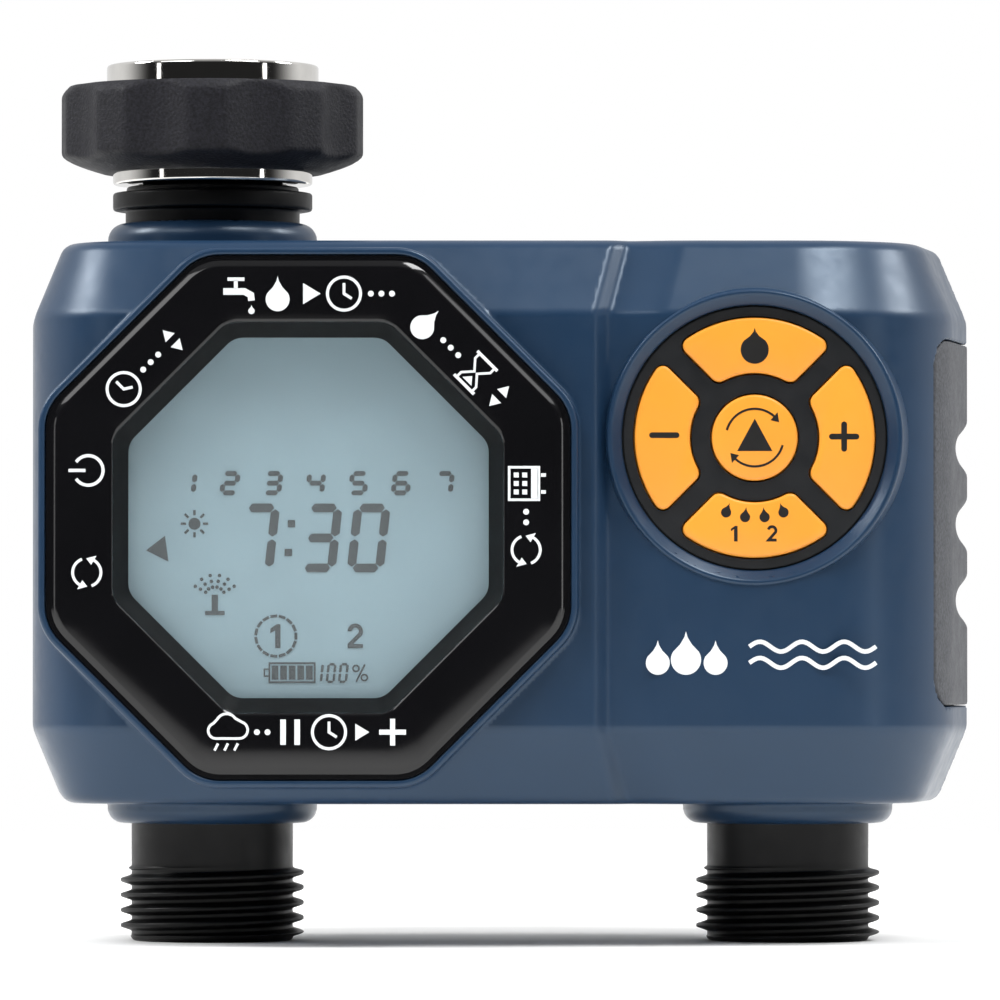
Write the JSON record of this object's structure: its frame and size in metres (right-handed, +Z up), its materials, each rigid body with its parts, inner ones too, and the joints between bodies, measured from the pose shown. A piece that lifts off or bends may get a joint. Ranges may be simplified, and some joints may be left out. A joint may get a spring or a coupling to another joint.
{
  "type": "drip irrigation timer",
  "caption": "Battery-powered garden tap timer with octagonal display, round keypad, swivel inlet nut and threaded hose outlets.",
  "frame": {"origin": "on the ground plane at the outlet ends, under the middle of the case's bounding box", "axes": "+Z up along the inlet, out of its mouth; +X to the battery drawer's side; the display faces -Y"},
  "size_m": [0.1369, 0.07, 0.128],
  "materials": {
    "case_blue": "satin navy ABS",
    "black_gloss": "printed glossy black plastic",
    "window_clear": "clear moulded window",
    "lcd_glass": "grey-blue liquid crystal glass",
    "lcd_ink": "dark display segments",
    "frame_grey": "charcoal plastic",
    "strip_rubber": "light conductive rubber",
    "board_green": "solder mask",
    "chip_black": "moulded black epoxy",
    "seal_rubber": "black rubber",
    "web_blue": "dark blue plastic",
    "key_orange": "satin orange plastic",
    "grip_grey": "textured charcoal plastic",
    "tray_black": "black plastic",
    "cell_wrap": "printed wrap",
    "contact_plate": "nickel-plated spring steel",
    "nut_chrome": "polished plating",
    "coupling_black": "textured overmoulding",
    "spigot_black": "smooth black plastic",
    "filter_nylon": "nylon mesh",
    "manifold_grey": "glass-filled nylon",
    "poppet_white": "acetal",
    "steel": "zinc-plated steel",
    "copper_coil": "enamelled copper winding",
    "lead_red": "insulated wire"
  },
  "bodies": {
    "case": {"front_cover": "case_blue", "rear_cover": "case_blue", "case_seal": "seal_rubber", "case_screws": "steel", "display_bezel": "black_gloss", "display_window": "window_clear", "window_gasket": "seal_rubber", "lcd_panel": "lcd_glass", "lcd_segments": "lcd_ink", "lcd_frame": "frame_grey", "contact_strips": "strip_rubber", "main_board": "board_green", "board_components": "chip_black", "tact_switches": "chip_black", "keypad_surround": "web_blue", "keypad_seal": "seal_rubber", "control_box": "frame_grey", "battery_bay": "frame_grey", "bay_contacts": "contact_plate", "inlet_washer": "seal_rubber", "filter_screen": "filter_nylon", "inlet_tailpiece": "spigot_black", "inlet_o_ring": "seal_rubber", "valve_manifold": "manifold_grey", "outlet_spigot_1": "spigot_black", "outlet_spigot_2": "spigot_black", "outlet_o_rings": "seal_rubber", "valve_bonnet_1": "manifold_grey", "valve_bonnet_2": "manifold_grey", "diaphragm_1": "seal_rubber", "diaphragm_2": "seal_rubber", "poppet_spring_1": "steel", "poppet_spring_2": "steel", "plunger_spring_1": "steel", "plunger_spring_2": "steel", "solenoid_coil_1": "copper_coil", "solenoid_coil_2": "copper_coil", "solenoid_yoke_1": "steel", "solenoid_yoke_2": "steel", "bonnet_screws": "steel", "solenoid_leads": "lead_red"},
    "inlet_coupling": {"coupling_nut": "nut_chrome", "coupling_grip": "coupling_black"},
    "battery_drawer": {"battery_tray": "tray_black", "tray_grip": "grip_grey", "tray_seal": "seal_rubber", "battery_1": "cell_wrap", "battery_2": "cell_wrap", "battery_3": "cell_wrap", "tray_contacts": "contact_plate"},
    "water_key": {"button_water": "key_orange"},
    "plus_key": {"button_plus": "key_orange"},
    "zone_key": {"button_zone": "key_orange"},
    "minus_key": {"button_minus": "key_orange"},
    "select_key": {"button_select": "key_orange"},
    "core_1": {"plunger_1": "steel"},
    "core_2": {"plunger_2": "steel"},
    "valve_1": {"poppet_1": "poppet_white"},
    "valve_2": {"poppet_2": "poppet_white"}
  },
  "joints": [
    {"name": "coupling_spin", "type": "hinge", "parent": "case", "child": "inlet_coupling", "pos_m": [-0.0421, 0.005, 0.119], "axis": [0, 0, 1], "continuous": true},
    {"name": "drawer_slide", "type": "slide", "parent": "case", "child": "battery_drawer", "axis": [1, 0, 0], "range_m": [0, 0.056]},
    {"name": "water_key_press", "type": "slide", "parent": "case", "child": "water_key", "axis": [0, 1, 0], "range_m": [0, 0.0007], "stiffness_N_per_m": 600},
    {"name": "plus_key_press", "type": "slide", "parent": "case", "child": "plus_key", "axis": [0, 1, 0], "range_m": [0, 0.0007], "stiffness_N_per_m": 600},
    {"name": "zone_key_press", "type": "slide", "parent": "case", "child": "zone_key", "axis": [0, 1, 0], "range_m": [0, 0.0007], "stiffness_N_per_m": 600},
    {"name": "minus_key_press", "type": "slide", "parent": "case", "child": "minus_key", "axis": [0, 1, 0], "range_m": [0, 0.0007], "stiffness_N_per_m": 600},
    {"name": "select_key_press", "type": "slide", "parent": "case", "child": "select_key", "axis": [0, 1, 0], "range_m": [0, 0.0007], "stiffness_N_per_m": 600},
    {"name": "core_1_lift", "type": "slide", "parent": "case", "child": "core_1", "axis": [0, 0, 1], "range_m": [0, 0.002], "stiffness_N_per_m": 60, "springref_m": -0.003, "deforming": ["plunger_spring_1"]},
    {"name": "valve_1_lift", "type": "slide", "parent": "case", "child": "valve_1", "axis": [0, 0, 1], "range_m": [0, 0.002], "stiffness_N_per_m": 40, "springref_m": -0.003, "deforming": ["poppet_spring_1"]},
    {"name": "core_2_lift", "type": "slide", "parent": "case", "child": "core_2", "axis": [0, 0, 1], "range_m": [0, 0.002], "stiffness_N_per_m": 60, "springref_m": -0.003, "deforming": ["plunger_spring_2"]},
    {"name": "valve_2_lift", "type": "slide", "parent": "case", "child": "valve_2", "axis": [0, 0, 1], "range_m": [0, 0.002], "stiffness_N_per_m": 40, "springref_m": -0.003, "deforming": ["poppet_spring_2"]}
  ],
  "couplings": [
    {"joint": "valve_1_lift", "follows": "core_1_lift", "ratio": 1},
    {"joint": "valve_2_lift", "follows": "core_2_lift", "ratio": 1}
  ]
}
